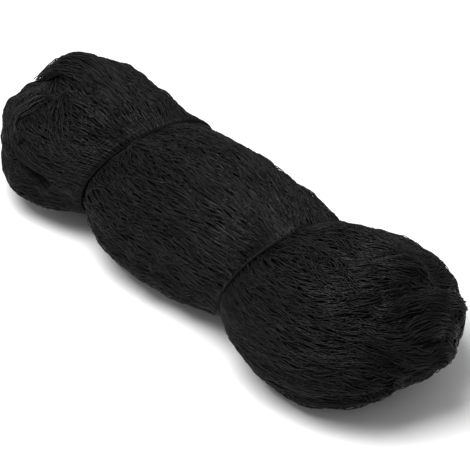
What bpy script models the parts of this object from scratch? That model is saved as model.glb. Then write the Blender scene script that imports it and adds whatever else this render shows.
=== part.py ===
"""Bird netting gathered lengthwise into a hank and cinched by two cords.

The netting is one soft solid: a closed skin lofted through rings, from a pole on its far end
to a pole on its near end. It bulges into three lobes, drawn in at two waists, and each waist
carries a cord tied round it. The lobes settle on the ground in flat patches.

Frame: metres, +Z up, the ground at z = 0 under the middle of the hank, +X along the hank
towards its puckered near end, +Y towards its back. Angles go round the hank from +Y (0) over
the top (90) to the front (180) and the underside (270), in degrees.
"""

import math
from typing import NamedTuple

import bpy
import numpy as np

COLLECTION_NAME = "bird_netting_hank"

# Driving dimensions, in metres.
HANK_LENGTH = 0.358
FAR_TIP = -HANK_LENGTH / 2
NEAR_TIP = HANK_LENGTH / 2
TIE_SPACING = 0.130
FAR_TIE = -0.074
NEAR_TIE = FAR_TIE + TIE_SPACING
LOBE_HALF_WIDTH = 0.054
NEAR_LOBE_HALF_WIDTH = 0.063  # the last lobe is the fullest
LOBE_CROWN = 0.077
WAIST_HALF_WIDTH = 0.049
WAIST_CROWN = 0.057
WAIST_KEEL = 0.018
TIE_SHIFT = 0.007  # how much further to the back the far cord pulls its waist
MIDDLE_FULLEST = 0.45  # share of the way from cord to cord where the middle lobe is fullest
SINK = 0.0025  # how far a lobe would dip below the ground if it kept its round underside
WIDEST_AT = 0.45  # share of a section's height at which it is widest
CORD_RADIUS = 0.0010
CORD_GAP = 0.0003
GROOVE_WIDTH = 0.0032  # flat floor of a waist's groove, a little wider than its cord

# Fineness of the skin.
COLUMNS = 70  # points in a ring
DOME_ROWS = 10  # rings from a pole to its lobe's fullest ring
SLOPE_ROWS = 9  # rings from a lobe's fullest ring to a waist
SLOPE_CROWDING = 1.6  # power that crowds those rings towards the waist
CORD_POINTS = 40
CORD_BEVEL = 2
FOLD_STEPS = 25  # points that stand for a fold's line
FOLD_FADE = 0.5  # power of the half wave by which a fold fades at its ends
WAIST_FADE = 0.15  # stations over which the relief fades out next to a waist
TIP_FADE = 0.45  # and next to a tip

# The knot of each cord: where it is, and how much the cord swells there and over what angle.
KNOT_ANGLE = 330.0
KNOT_SWELLING = 1.5
KNOT_SPREAD = 6.0

# Roundness of a section: 2 is an ellipse, and more is squarer.
TOP_POWER = 2.1
UNDER_POWER = 2.5


class Lobe(NamedTuple):
    """One bulge of the hank at its fullest ring."""

    at: float  # x of the ring
    half_width: float
    crown: float  # height of its top
    side: float  # y of its middle


class Waist(NamedTuple):
    """The ring under one cord."""

    at: float
    half_width: float
    crown: float
    keel: float  # height of its underside
    side: float
    far_sharpness: float  # how abruptly the skin swells out of it on each side: 1 is gentle,
    near_sharpness: float  # and less is steeper


class Cap(NamedTuple):
    """The rounded end of an outer lobe."""

    tip: float  # x of the outermost point
    tip_rise: float  # how far it lies above its lobe's widest height
    bluntness: float  # power of its side view: 2 is an ellipse


class Fold(NamedTuple):
    """A ridge, or with a negative height a furrow, along a line on the skin.

    Stations count along the hank: 0 the far tip, 1, 3 and 5 the lobes' fullest rings, 2 and 4
    the waists, and 6 the near tip.
    """

    station: float  # where the line starts
    angle: float
    to_station: float  # where it ends
    to_angle: float
    half_width: float
    height: float


class Twist(NamedTuple):
    """An even set of locks round the hank, ridges and furrows that turn as they run along it."""

    count: int
    height: float
    turn: float  # degrees that it turns in one station
    start: float  # its angle at the middle of the hank


LOBES = (
    Lobe(
        at=(FAR_TIP + FAR_TIE) / 2,
        half_width=LOBE_HALF_WIDTH,
        crown=LOBE_CROWN,
        side=0.001,
    ),
    Lobe(
        at=FAR_TIE + MIDDLE_FULLEST * TIE_SPACING,
        half_width=LOBE_HALF_WIDTH,
        crown=LOBE_CROWN,
        side=-0.001,
    ),
    Lobe(
        at=(NEAR_TIE + NEAR_TIP) / 2,
        half_width=NEAR_LOBE_HALF_WIDTH,
        crown=LOBE_CROWN,
        side=-0.003,
    ),
)
WAISTS = (
    Waist(
        at=FAR_TIE,
        half_width=WAIST_HALF_WIDTH,
        crown=WAIST_CROWN,
        keel=WAIST_KEEL,
        side=TIE_SHIFT,
        far_sharpness=0.7,
        near_sharpness=0.6,
    ),
    Waist(
        at=NEAR_TIE,
        half_width=WAIST_HALF_WIDTH,
        crown=WAIST_CROWN,
        keel=WAIST_KEEL,
        side=0.0,
        far_sharpness=0.7,
        near_sharpness=0.6,
    ),
)
CAPS = (
    Cap(tip=FAR_TIP, tip_rise=0.0, bluntness=1.8),
    Cap(tip=NEAR_TIP, tip_rise=0.015, bluntness=1.8),
)

TWISTS = (
    Twist(count=7, height=0.0010, turn=5.0, start=10.0),
    Twist(count=11, height=0.0009, turn=-4.0, start=3.0),
    Twist(count=16, height=0.0005, turn=7.0, start=0.0),
)

# Heights of the folds.
FLAP = 0.006
RIDGE = 0.002
FURROW = -0.0025
CREASE = -0.0045
GASH = -0.007

# Columns: station, angle, to_station, to_angle, half_width, height.
FAR_FOLDS = (
    Fold(0.6, 90, 1.1, 70, 0.012, FLAP),  # turned back over the far end
    Fold(0.6, 105, 1.3, 90, 0.006, GASH),  # under the flap's edge
    Fold(0.9, 115, 1.1, 110, 0.014, CREASE),  # the dimple that the strands fan out of
    Fold(0.8, 145, 1.6, 140, 0.008, RIDGE),
    Fold(0.9, 180, 1.7, 170, 0.006, CREASE),  # over the lowest turns
    Fold(0.6, 20, 1.6, 10, 0.008, FURROW),
    Fold(0.4, 160, 0.9, 190, 0.008, CREASE),
    Fold(0.4, -30, 1.6, -30, 0.010, RIDGE),
    Fold(0.3, 40, 0.7, 10, 0.008, FURROW),
    Fold(0.3, 215, 1.2, 220, 0.008, CREASE),
    Fold(0.8, 195, 1.2, 205, 0.014, RIDGE),
)
MIDDLE_FOLDS = (
    Fold(2.3, 150, 3.6, 140, 0.008, FURROW),
    Fold(2.5, 120, 3.7, 105, 0.008, FURROW),
    Fold(2.4, 85, 3.4, 75, 0.008, RIDGE),
    Fold(2.6, 170, 3.7, 170, 0.006, FURROW),
    Fold(3.3, 195, 3.8, 195, 0.012, FURROW),
    Fold(2.4, 50, 3.6, 40, 0.008, FURROW),
    Fold(2.4, 10, 3.6, 0, 0.010, RIDGE),
    Fold(2.4, -20, 3.6, -25, 0.008, FURROW),
    Fold(2.2, 190, 2.8, 190, 0.012, RIDGE),
    Fold(2.1, 20, 2.4, 55, 0.012, FURROW),
)
NEAR_FOLDS = (
    Fold(4.3, 75, 5.0, 60, 0.012, RIDGE),  # the lock that arches over the top
    Fold(4.5, 100, 5.3, 75, 0.006, FURROW),
    Fold(5.1, 55, 5.3, 30, 0.014, CREASE),
    Fold(5.2, 35, 5.5, 95, 0.006, GASH),  # puckers between the turned ends
    Fold(5.3, 15, 5.4, 35, 0.006, CREASE),
    Fold(5.7, -5, 5.8, 80, 0.006, GASH),
    Fold(5.9, 205, 5.6, 140, 0.006, GASH),
    Fold(5.7, 230, 5.9, 260, 0.006, GASH),
    Fold(5.8, -25, 5.9, -80, 0.010, RIDGE),
    Fold(5.2, -30, 5.8, -50, 0.008, CREASE),
    Fold(4.5, 160, 5.4, 140, 0.006, FURROW),
    Fold(4.5, 185, 5.4, 175, 0.006, FURROW),
    Fold(4.9, 200, 5.3, 205, 0.014, FURROW),
    Fold(4.5, -15, 5.2, -20, 0.010, FURROW),
    Fold(4.5, 20, 5.2, 10, 0.012, RIDGE),
    Fold(4.2, 195, 4.7, 200, 0.014, RIDGE),
    Fold(4.1, 20, 4.3, 50, 0.012, FURROW),
    Fold(4.9, 40, 5.2, 60, 0.014, FURROW),
)
FOLDS = FAR_FOLDS + MIDDLE_FOLDS + NEAR_FOLDS

# A lobe swells out of a waist as 1 - (1 - t) ** SWELL_POWER, to the power of its sharpness.
SWELL_POWER = 1.6


class Section(NamedTuple):
    """The sizes of one upright ring across the hank."""

    at: float  # x of the ring
    half_width: float
    crown: float
    keel: float
    side: float  # y of its middle

    @property
    def widest(self):
        """Height at which the ring is widest."""
        return self.keel + WIDEST_AT * (self.crown - self.keel)


def ring_angles():
    """The columns' angles round the hank, in radians."""
    return np.arange(COLUMNS) * 2 * math.pi / COLUMNS


def section_of_lobe(lobe):
    """The fullest ring of a lobe, whose underside would dip below the ground."""
    return Section(lobe.at, lobe.half_width, lobe.crown, -SINK, lobe.side)


def section_between(waist, lobe, share):
    """The ring that lies this share of the way from a waist's groove to a lobe's fullest ring."""
    nearer = lobe.at > waist.at
    start = waist.at + (GROOVE_WIDTH / 2 if nearer else -GROOVE_WIDTH / 2)
    sharpness = waist.near_sharpness if nearer else waist.far_sharpness
    swell = (1 - (1 - share) ** SWELL_POWER) ** sharpness

    def mixed(low, high):
        return low + (high - low) * swell

    return Section(
        at=start + (lobe.at - start) * share,
        half_width=mixed(waist.half_width, lobe.half_width),
        crown=mixed(waist.crown, lobe.crown),
        keel=mixed(waist.keel, -SINK),
        side=mixed(waist.side, lobe.side),
    )


def roundness(vertical):
    """The power of the section's outline above and below its widest height."""
    return np.where(vertical >= 0, TOP_POWER, UNDER_POWER)


def section_points(section, angles):
    """The points of an upright ring, a superellipse whose power is its roundness."""
    across, up = np.cos(angles), np.sin(angles)
    power = roundness(up)
    scale = (np.abs(across) ** power + np.abs(up) ** power) ** (-1 / power)
    height = np.where(up >= 0, section.crown - section.widest, section.widest - section.keel)
    return np.stack(
        (
            np.full_like(angles, section.at),
            section.side + section.half_width * across * scale,
            section.widest + height * up * scale,
        ),
        axis=1,
    )


def section_ring(section):
    """One ring of the skin."""
    return section_points(section, ring_angles())


def points_on_cap(lobe, cap, directions):
    """Points of a lobe's rounded end in unit directions from the middle of its fullest ring.

    In directions scaled to the lobe's half sizes, the end is a superellipsoid: the power of its
    section is roundness, and the power of its side view is bluntness. The rise of its
    tip bends it, as the square of the way out.
    """
    section = section_of_lobe(lobe)
    along, across, up = directions.T
    power = roundness(up)
    round_sum = np.abs(across) ** power + np.abs(up) ** power
    blunt = cap.bluntness
    scale = (np.abs(along) ** blunt + round_sum ** (blunt / power)) ** (-1 / blunt)
    height = np.where(up >= 0, section.crown - section.widest, section.widest - section.keel)
    outward = along * scale
    return np.stack(
        (
            section.at + (cap.tip - lobe.at) * outward,
            section.side + section.half_width * across * scale,
            section.widest + height * up * scale + cap.tip_rise * outward**2,
        ),
        axis=1,
    )


def cap_ring(lobe, cap, polar):
    """The ring of an end at this polar angle from its tip: 0 is the tip, 90 the lobe's ring."""
    angles = ring_angles()
    directions = np.stack(
        (
            np.full_like(angles, math.cos(polar)),
            math.sin(polar) * np.cos(angles),
            math.sin(polar) * np.sin(angles),
        ),
        axis=1,
    )
    return points_on_cap(lobe, cap, directions)


def smooth_rings():
    """The rings of the skin before its folds, from the far tip to the near tip, with stations."""
    polars = np.linspace(0.0, math.pi / 2, DOME_ROWS + 1)
    dome_shares = np.linspace(0.0, 1.0, DOME_ROWS + 1)
    slope_shares = (np.arange(SLOPE_ROWS) / SLOPE_ROWS) ** SLOPE_CROWDING
    far, middle, near = LOBES

    def slope(waist, lobe):
        return [section_ring(section_between(waist, lobe, share)) for share in slope_shares]

    pieces = (
        ([cap_ring(far, CAPS[0], polar) for polar in polars], dome_shares),
        (slope(WAISTS[0], far)[::-1], 2 - slope_shares[::-1]),
        (slope(WAISTS[0], middle), 2 + slope_shares),
        ([section_ring(section_of_lobe(middle))], [3.0]),
        (slope(WAISTS[1], middle)[::-1], 4 - slope_shares[::-1]),
        (slope(WAISTS[1], near), 4 + slope_shares),
        ([cap_ring(near, CAPS[1], polar) for polar in polars[::-1]], 6 - dome_shares[::-1]),
    )
    rings = np.array([ring for rings, _ in pieces for ring in rings])
    stations = np.concatenate([stations for _, stations in pieces])
    return rings, stations


def skin_normals(rings):
    """Outward unit normals of the skin at every ring's points."""
    round_hank = np.roll(rings, -1, axis=1) - np.roll(rings, 1, axis=1)
    along_hank = np.gradient(rings, axis=0)
    normals = np.cross(round_hank, along_hank)
    normals[0] = (-1.0, 0.0, 0.0)
    normals[-1] = (1.0, 0.0, 0.0)
    return normals / np.linalg.norm(normals, axis=2, keepdims=True)


def point_at(rings, stations, station, angle):
    """The point of the smooth skin at a station and an angle in degrees."""
    row = np.interp(station, stations, np.arange(len(stations)))
    column = (angle % 360.0) / 360.0 * COLUMNS
    row_low = min(int(row), len(stations) - 2)
    column_low = int(column)
    row_share, column_share = row - row_low, column - column_low
    corners = rings[row_low : row_low + 2][:, (column_low, (column_low + 1) % COLUMNS)]
    low, high = corners[:, 0] * (1 - column_share) + corners[:, 1] * column_share
    return low * (1 - row_share) + high * row_share


def fold_height(rings, stations, fold):
    """How far a fold lifts each point: a bell across its line that fades at the line's ends."""
    steps = np.linspace(0.0, 1.0, FOLD_STEPS)
    line = np.array(
        [
            point_at(
                rings,
                stations,
                fold.station + (fold.to_station - fold.station) * step,
                fold.angle + (fold.to_angle - fold.angle) * step,
            )
            for step in steps
        ]
    )
    away = np.linalg.norm(rings[:, :, None] - line, axis=3)
    nearest = away.argmin(axis=2)
    fade = np.sin(math.pi * (0.5 + nearest) / FOLD_STEPS) ** FOLD_FADE
    return fold.height * fade * np.exp(-((away.min(axis=2) / fold.half_width) ** 2))


def twist_height(stations, twist):
    """How far a twist lifts each point: a wave round the hank that fades out at the tips."""
    turned = np.radians(twist.start + twist.turn * (stations - 3))
    wave = np.cos(twist.count * (ring_angles() - turned[:, None]))
    from_tip = np.minimum(stations, 6 - stations)
    return twist.height * wave * np.clip(from_tip / TIP_FADE, 0.0, 1.0)[:, None]


def skin_rings():
    """The rings with every fold and twist laid on them, fading out towards the waists."""
    rings, stations = smooth_rings()
    heights = sum(fold_height(rings, stations, fold) for fold in FOLDS)
    heights += sum(twist_height(stations, twist) for twist in TWISTS)
    from_waist = np.minimum(np.abs(stations - 2), np.abs(stations - 4))
    fade = np.clip(from_waist / WAIST_FADE, 0.0, 1.0)
    return rings + skin_normals(rings) * (heights * fade[:, None])[:, :, None]


def build_skin(rings):
    """Vertices and faces of the closed skin through the rings, with one vertex at each pole."""
    rings = rings.copy()
    rings[:, :, 2] = np.maximum(rings[:, :, 2], 0.0)
    inner = rings[1:-1]
    rows = len(inner)
    vertices = np.concatenate((rings[0, :1], inner.reshape(-1, 3), rings[-1, :1]))
    far_pole, near_pole = 0, len(vertices) - 1
    faces = []
    for row in range(rows - 1):
        for column in range(COLUMNS):
            onward = (column + 1) % COLUMNS
            low, high = 1 + row * COLUMNS, 1 + (row + 1) * COLUMNS
            faces.append((low + column, low + onward, high + onward, high + column))
    last = 1 + (rows - 1) * COLUMNS
    for column in range(COLUMNS):
        onward = (column + 1) % COLUMNS
        faces.append((far_pole, 1 + onward, 1 + column))
        faces.append((near_pole, last + column, last + onward))
    return vertices, faces


def cord_path(waist, radii):
    """The middle line of the cord round a waist, where it lies a gap off the groove's floor."""
    floor = Section(waist.at, waist.half_width, waist.crown, waist.keel, waist.side)
    angles = np.arange(CORD_POINTS) * 2 * math.pi / CORD_POINTS
    ring = section_points(floor, angles)
    round_waist = np.roll(ring, -1, axis=0) - np.roll(ring, 1, axis=0)
    outward = np.stack((0 * angles, round_waist[:, 2], -round_waist[:, 1]), axis=1)
    outward /= np.linalg.norm(outward, axis=1, keepdims=True)
    return ring + outward * (radii + CORD_GAP)[:, None]


def new_material(name, colour, roughness):
    """A matt plastic twine."""
    material = bpy.data.materials.new(name)
    material.use_nodes = True
    shader = material.node_tree.nodes["Principled BSDF"]
    shader.inputs["Base Color"].default_value = (*colour, 1.0)
    shader.inputs["Roughness"].default_value = roughness
    shader.inputs["Metallic"].default_value = 0.0
    return material


def add_netting(collection, material, vertices, faces):
    """The hank itself."""
    mesh = bpy.data.meshes.new("net_hank")
    mesh.from_pydata(vertices.tolist(), [], faces)
    mesh.materials.append(material)
    mesh.shade_smooth()
    mesh.update()
    hank = bpy.data.objects.new("net_hank", mesh)
    collection.objects.link(hank)
    return hank


def add_cord(collection, material, name, waist):
    """The cord tied round a waist, a closed loop that swells into its plain knot at the back."""
    angles = np.arange(CORD_POINTS) * 360.0 / CORD_POINTS
    from_knot = np.abs((angles - KNOT_ANGLE + 180.0) % 360.0 - 180.0)
    swelling = 1.0 + (KNOT_SWELLING - 1.0) * np.exp(-((from_knot / KNOT_SPREAD) ** 2))
    curve = bpy.data.curves.new(name, "CURVE")
    curve.dimensions = "3D"
    curve.bevel_depth = CORD_RADIUS
    curve.bevel_resolution = CORD_BEVEL
    curve.use_fill_caps = True
    spline = curve.splines.new("POLY")
    spline.points.add(CORD_POINTS - 1)
    spline.use_cyclic_u = True
    path = cord_path(waist, CORD_RADIUS * swelling)
    for point, place, swell in zip(spline.points, path, swelling):
        point.co = (*place, 1.0)
        point.radius = swell
    curve.materials.append(material)
    cord = bpy.data.objects.new(name, curve)
    collection.objects.link(cord)
    return cord


def main():
    for old in list(bpy.data.objects):
        bpy.data.objects.remove(old)
    collection = bpy.data.collections.new(COLLECTION_NAME)
    bpy.context.scene.collection.children.link(collection)
    netting = new_material("netting_black", (0.012, 0.012, 0.013), 0.55)
    cord = new_material("cord_black", (0.008, 0.008, 0.009), 0.6)

    vertices, faces = build_skin(skin_rings())
    pieces = [add_netting(collection, netting, vertices, faces)]
    for name, waist in zip(("tie_far", "tie_near"), WAISTS):
        pieces.append(add_cord(collection, cord, name, waist))

    # The folds move the hank's box a little, so the pieces are set with its middle at the origin.
    middle = (vertices.min(axis=0) + vertices.max(axis=0)) / 2
    for piece in pieces:
        piece.location = (-middle[0], -middle[1], 0.0)


main()
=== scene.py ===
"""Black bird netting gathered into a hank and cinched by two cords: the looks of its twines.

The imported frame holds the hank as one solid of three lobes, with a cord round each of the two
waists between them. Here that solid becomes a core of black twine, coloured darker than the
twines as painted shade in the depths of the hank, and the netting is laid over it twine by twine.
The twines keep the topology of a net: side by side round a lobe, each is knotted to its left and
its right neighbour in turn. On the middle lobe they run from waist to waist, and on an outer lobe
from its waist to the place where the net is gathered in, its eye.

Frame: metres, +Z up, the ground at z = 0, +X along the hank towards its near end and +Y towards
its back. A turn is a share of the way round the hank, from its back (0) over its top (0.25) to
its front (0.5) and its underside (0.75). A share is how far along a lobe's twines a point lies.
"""

import cmath
import logging
import math
from abc import ABC, abstractmethod
from dataclasses import dataclass, field
from enum import Enum

import bpy
import numpy as np
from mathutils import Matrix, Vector


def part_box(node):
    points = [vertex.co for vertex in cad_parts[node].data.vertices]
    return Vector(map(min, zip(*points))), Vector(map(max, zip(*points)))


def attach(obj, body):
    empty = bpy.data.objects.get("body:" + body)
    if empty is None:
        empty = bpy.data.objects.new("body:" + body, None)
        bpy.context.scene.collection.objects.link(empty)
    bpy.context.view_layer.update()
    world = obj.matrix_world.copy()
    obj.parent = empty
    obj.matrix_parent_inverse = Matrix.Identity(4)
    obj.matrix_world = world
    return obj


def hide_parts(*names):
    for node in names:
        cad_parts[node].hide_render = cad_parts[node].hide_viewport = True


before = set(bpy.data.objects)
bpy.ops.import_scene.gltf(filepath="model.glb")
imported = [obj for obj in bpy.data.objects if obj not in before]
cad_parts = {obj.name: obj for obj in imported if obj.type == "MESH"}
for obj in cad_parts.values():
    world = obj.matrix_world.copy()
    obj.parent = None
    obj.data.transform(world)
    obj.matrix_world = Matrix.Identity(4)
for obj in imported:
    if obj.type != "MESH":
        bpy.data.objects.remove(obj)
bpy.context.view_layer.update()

log = logging.getLogger("bird_netting")

Array = np.ndarray
Pair = tuple[float, float]
Triple = tuple[float, float, float]
Generator = np.random.Generator
Piece = bpy.types.Object
Material = bpy.types.Material
Socket = bpy.types.NodeSocket
Inputs = dict[str | int, object]  # what is given for a node's inputs, by name or number

FULL_TURN = 2 * math.pi
TINY = 1e-12  # least divisor
HANK_NODE = "net_hank"
BODY = "root"
TWINE_MAP = "OFBake"  # the UV map of every twine: its tone slot across, its length along
TONE_SLOTS = 64
SLOT_FILL = 0.8  # share of a slot's width that the sides of a twine take
MAP_LENGTH = 0.30  # length of twine that the map holds, in metres

TOP_POWER = 2.1  # roundness of a waist above its widest height, and under it: 2 is an ellipse
UNDER_POWER = 2.5
WIDEST_AT = 0.45  # share of a waist's height at which it is widest
CORD_RADIUS = 0.0007
HEART_RISE = 0.46  # height of an outer lobe's heart, as a share of the hank's

DENT_DEPTH = 0.0004  # of the shallow hollows all over the hank, root mean square
DENT_WAVES = (3.0, 7.0)  # along a lobe
DENT_WAVES_AROUND = 13
FINE_WAVES = 48  # sine waves in a field of short waves


class Side(Enum):
    """Which end of the hank an outer lobe is."""

    FAR = -1
    NEAR = 1


# ---- Helpers ----


def linked(name: str, data: bpy.types.ID) -> Piece:
    """Puts a new object in the scene.

    Args:
        name: Its name.
        data: Its mesh, lamp or camera.

    Returns:
        The object.
    """
    piece = bpy.data.objects.new(name, data)
    bpy.context.scene.collection.objects.link(piece)
    return piece


def smooth_step(values: Array) -> Array:
    """3 t ** 2 - 2 t ** 3, with t held between 0 and 1."""
    t = np.clip(values, 0.0, 1.0)
    return t * t * (3.0 - 2.0 * t)


def unit(vectors: Array) -> Array:
    """The vectors over their lengths."""
    lengths = np.linalg.norm(vectors, axis=-1, keepdims=True)
    return vectors / np.maximum(lengths, TINY)


def read_grid(grid: Array, shares: Array, turns: Array) -> Array:
    """Reads a grid between its points: the mean of the four around, weighted by nearness.

    Args:
        grid: Rows by columns by values. The last column is followed by the first.
        shares: Where to read along the rows, from 0 to 1.
        turns: Where to read round the columns, in turns of any sign.

    Returns:
        The values, in the shape of shares and turns together.
    """
    rows, columns = grid.shape[:2]
    row = np.clip(shares, 0.0, 1.0) * (rows - 1)
    column = np.mod(turns, 1.0) * columns
    row_low = np.minimum(row.astype(int), rows - 2)
    column_low = np.minimum(column.astype(int), columns - 1)
    column_high = (column_low + 1) % columns
    up = (row - row_low)[..., None]
    over = (column - column_low)[..., None]
    low = grid[row_low, column_low] * (1 - over) + grid[row_low, column_high] * over
    high = grid[row_low + 1, column_low] * (1 - over) + grid[row_low + 1, column_high] * over
    return low * (1 - up) + high * up


def even_rows(lines: Array, rows: int) -> tuple[Array, Array]:
    """Finds the shares at which every line of a grid is cut into equal lengths.

    Args:
        lines: Points by lines by 3, each line running down its column.
        rows: How many points each line is to have.

    Returns:
        The shares of the old rows, rows by lines, and the length of each line.
    """
    steps = np.linalg.norm(np.diff(lines, axis=0), axis=2)
    run = np.concatenate((np.zeros((1, steps.shape[1])), np.cumsum(steps, axis=0)))
    lengths = run[-1].copy()
    run /= np.maximum(lengths, TINY)
    # The lines are set one after the other, two apart, so that one call reads them all.
    offsets = 2.0 * np.arange(run.shape[1])
    wanted = np.linspace(0.0, 1.0, rows)[:, None] + offsets
    known = (run + offsets).T.ravel()
    old_shares = np.tile(np.linspace(0.0, 1.0, run.shape[0]), run.shape[1])
    return np.interp(wanted, known, old_shares), lengths


@dataclass(frozen=True)
class RandomField:
    """A smooth random field over a lobe, a sum of sine waves that closes round the lobe."""

    seed: int
    size: float  # root mean square
    along: Pair  # fewest and most waves in the length of the lobe
    around: int  # most waves round it
    waves: int = 32

    def at(self, shares: Array, turns: Array) -> Array:
        """size * sqrt(2 / n) * sum of sin(2 pi (a share + b turn + c)).

        Args:
            shares: Where along the lobe.
            turns: Where round it.

        Returns:
            The field's values there.
        """
        random = np.random.default_rng(self.seed)
        along = random.uniform(*self.along, self.waves) * random.choice((-1, 1), self.waves)
        around = random.integers(-self.around, self.around + 1, self.waves)
        starts = random.random(self.waves)
        shares, turns = np.broadcast_arrays(shares, turns)
        total = np.zeros(shares.shape)
        for a, b, c in zip(along, around, starts):
            total += np.sin(FULL_TURN * (a * shares + b * turns + c))
        return total * (self.size * math.sqrt(2.0 / self.waves))


# ---- The form of the hank, read from the frame ----


@dataclass(frozen=True)
class Waist:
    """The ring in which a cord lies round the hank."""

    at: float  # x
    half_width: float
    crown: float
    keel: float
    side: float  # y of its middle

    @classmethod
    def of(cls, node: str) -> "Waist":
        """The waist inside a cord, from the cord's box.

        Args:
            node: The cord's node.

        Returns:
            The waist.
        """
        low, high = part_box(node)
        return cls(
            at=(low.x + high.x) / 2,
            half_width=(high.y - low.y) / 2 - CORD_RADIUS,
            crown=high.z - CORD_RADIUS,
            keel=low.z + CORD_RADIUS,
            side=(low.y + high.y) / 2,
        )

    @property
    def middle(self) -> Array:
        """The point in the middle of the waist."""
        return np.array((self.at, self.side, (self.crown + self.keel) / 2))

    def ring(self, turns: Array, inward: float = 0.0) -> Array:
        """Points round the waist, on a superellipse: |c| ** p + |s| ** p = 1.

        Args:
            turns: Where round the waist.
            inward: How far inside the middle line of the cord.

        Returns:
            The points.
        """
        across, up = np.cos(FULL_TURN * turns), np.sin(FULL_TURN * turns)
        power = np.where(up >= 0, TOP_POWER, UNDER_POWER)
        scale = (np.abs(across) ** power + np.abs(up) ** power) ** (-1 / power)
        widest = self.keel + WIDEST_AT * (self.crown - self.keel)
        height = np.where(up >= 0, self.crown - widest, widest - self.keel) - inward
        return np.stack(
            (
                np.full_like(across, self.at),
                self.side + (self.half_width - inward) * across * scale,
                widest + height * up * scale,
            ),
            axis=-1,
        )


class Skin:
    """The hank's solid, welded, as the surface on which every twine is laid."""

    def __init__(self, node: str) -> None:
        """Makes the welded copy.

        Args:
            node: The node of the solid.
        """
        self.solid = linked("skin_of_" + node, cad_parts[node].data.copy())
        weld = self.solid.modifiers.new("weld", "WELD")
        weld.merge_threshold = 1e-5
        bpy.context.view_layer.update()

    def cast(self, starts: Array, side: Side = Side.NEAR) -> Array:
        """Throws each point of a small closed form outwards until it meets the skin.

        Args:
            starts: Rows by columns by 3, a form so small that its normals point the way.
            side: The end of the hank that the rows run towards.

        Returns:
            The points on the skin, in the same rows and columns.
        """
        rows, columns = starts.shape[:2]
        index = np.arange(rows * columns).reshape(rows, columns)
        low, high = index[:-1], index[1:]
        corners = (low, np.roll(low, -1, axis=1), np.roll(high, -1, axis=1), high)
        quads = np.stack(corners[:: side.value], axis=-1)
        mesh = bpy.data.meshes.new("rays")
        mesh.from_pydata(starts.reshape(-1, 3), [], quads.reshape(-1, 4))
        rays = linked("rays", mesh)
        wrap = rays.modifiers.new("wrap", "SHRINKWRAP")
        wrap.wrap_method = "PROJECT"
        wrap.use_positive_direction = True
        wrap.use_negative_direction = False
        wrap.target = self.solid
        evaluated = rays.evaluated_get(bpy.context.evaluated_depsgraph_get())
        found = np.empty(rows * columns * 3)
        evaluated.data.vertices.foreach_get("co", found)
        bpy.data.objects.remove(rays)
        bpy.data.meshes.remove(mesh)
        return found.reshape(starts.shape)

    def remove(self) -> None:
        """Takes the welded copy out of the scene."""
        mesh = self.solid.data
        bpy.data.objects.remove(self.solid)
        bpy.data.meshes.remove(mesh)


@dataclass
class Lay:
    """A lobe's surface in the coordinates of its twines: shares along them, turns across."""

    points: Array  # rows by columns by 3
    normals: Array
    widths: Array = field(init=False)  # metres to a turn, rows by columns by 1
    lengths: Array = field(init=False)  # metres to a share, rows by columns by 1
    length: float = field(init=False)  # mean length of a line
    girth: float = field(init=False)  # metres round the lobe where it is fullest
    narrowest: float = 0.3  # least girth that a move sideways counts with, in full girths

    def __post_init__(self) -> None:
        """Measures the lines: how far apart they are, and how long."""
        columns = self.points.shape[1]
        apart = np.roll(self.points, -1, axis=1) - np.roll(self.points, 1, axis=1)
        self.widths = np.linalg.norm(apart, axis=2, keepdims=True) * (columns / 2)
        self.girth = float(self.widths.mean(axis=1).max())
        steps = np.linalg.norm(np.diff(self.points, axis=0), axis=2)
        self.lengths = np.broadcast_to(steps.sum(axis=0)[:, None], self.widths.shape)
        self.length = float(self.lengths.mean())

    def dented(self, seed: int) -> "Lay":
        """Lays the lines on a surface with hollows: a random field times sin(pi s) ** 0.5.

        Args:
            seed: Seed of the field.

        Returns:
            The new lay, where s is the share.
        """
        rows, columns = self.points.shape[:2]
        shares, turns = np.meshgrid(
            np.linspace(0, 1, rows), np.arange(columns) / columns, indexing="ij"
        )
        dents = RandomField(seed, DENT_DEPTH, DENT_WAVES, DENT_WAVES_AROUND)
        hollow = dents.at(shares, turns) * np.sqrt(np.sin(math.pi * shares))
        return Lay(self.points + self.normals * hollow[..., None], self.normals)

    def place(self, shares: Array, turns: Array, aside: Array, above: Array) -> tuple[Array, Array]:
        """Turns twine coordinates into points: the skin's point plus above times its normal.

        Args:
            shares: Where along the lobe.
            turns: Where round it.
            aside: Metres to move sideways, held back where the lines crowd together.
            above: Metres to move off the skin.

        Returns:
            The points, and the skin's normals there.
        """
        widths = read_grid(self.widths, shares, turns)[..., 0]
        widths = np.maximum(widths, self.narrowest * self.girth)
        moved = turns + aside / widths
        normals = unit(read_grid(self.normals, shares, moved))
        return read_grid(self.points, shares, moved) + normals * above[..., None], normals


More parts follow.
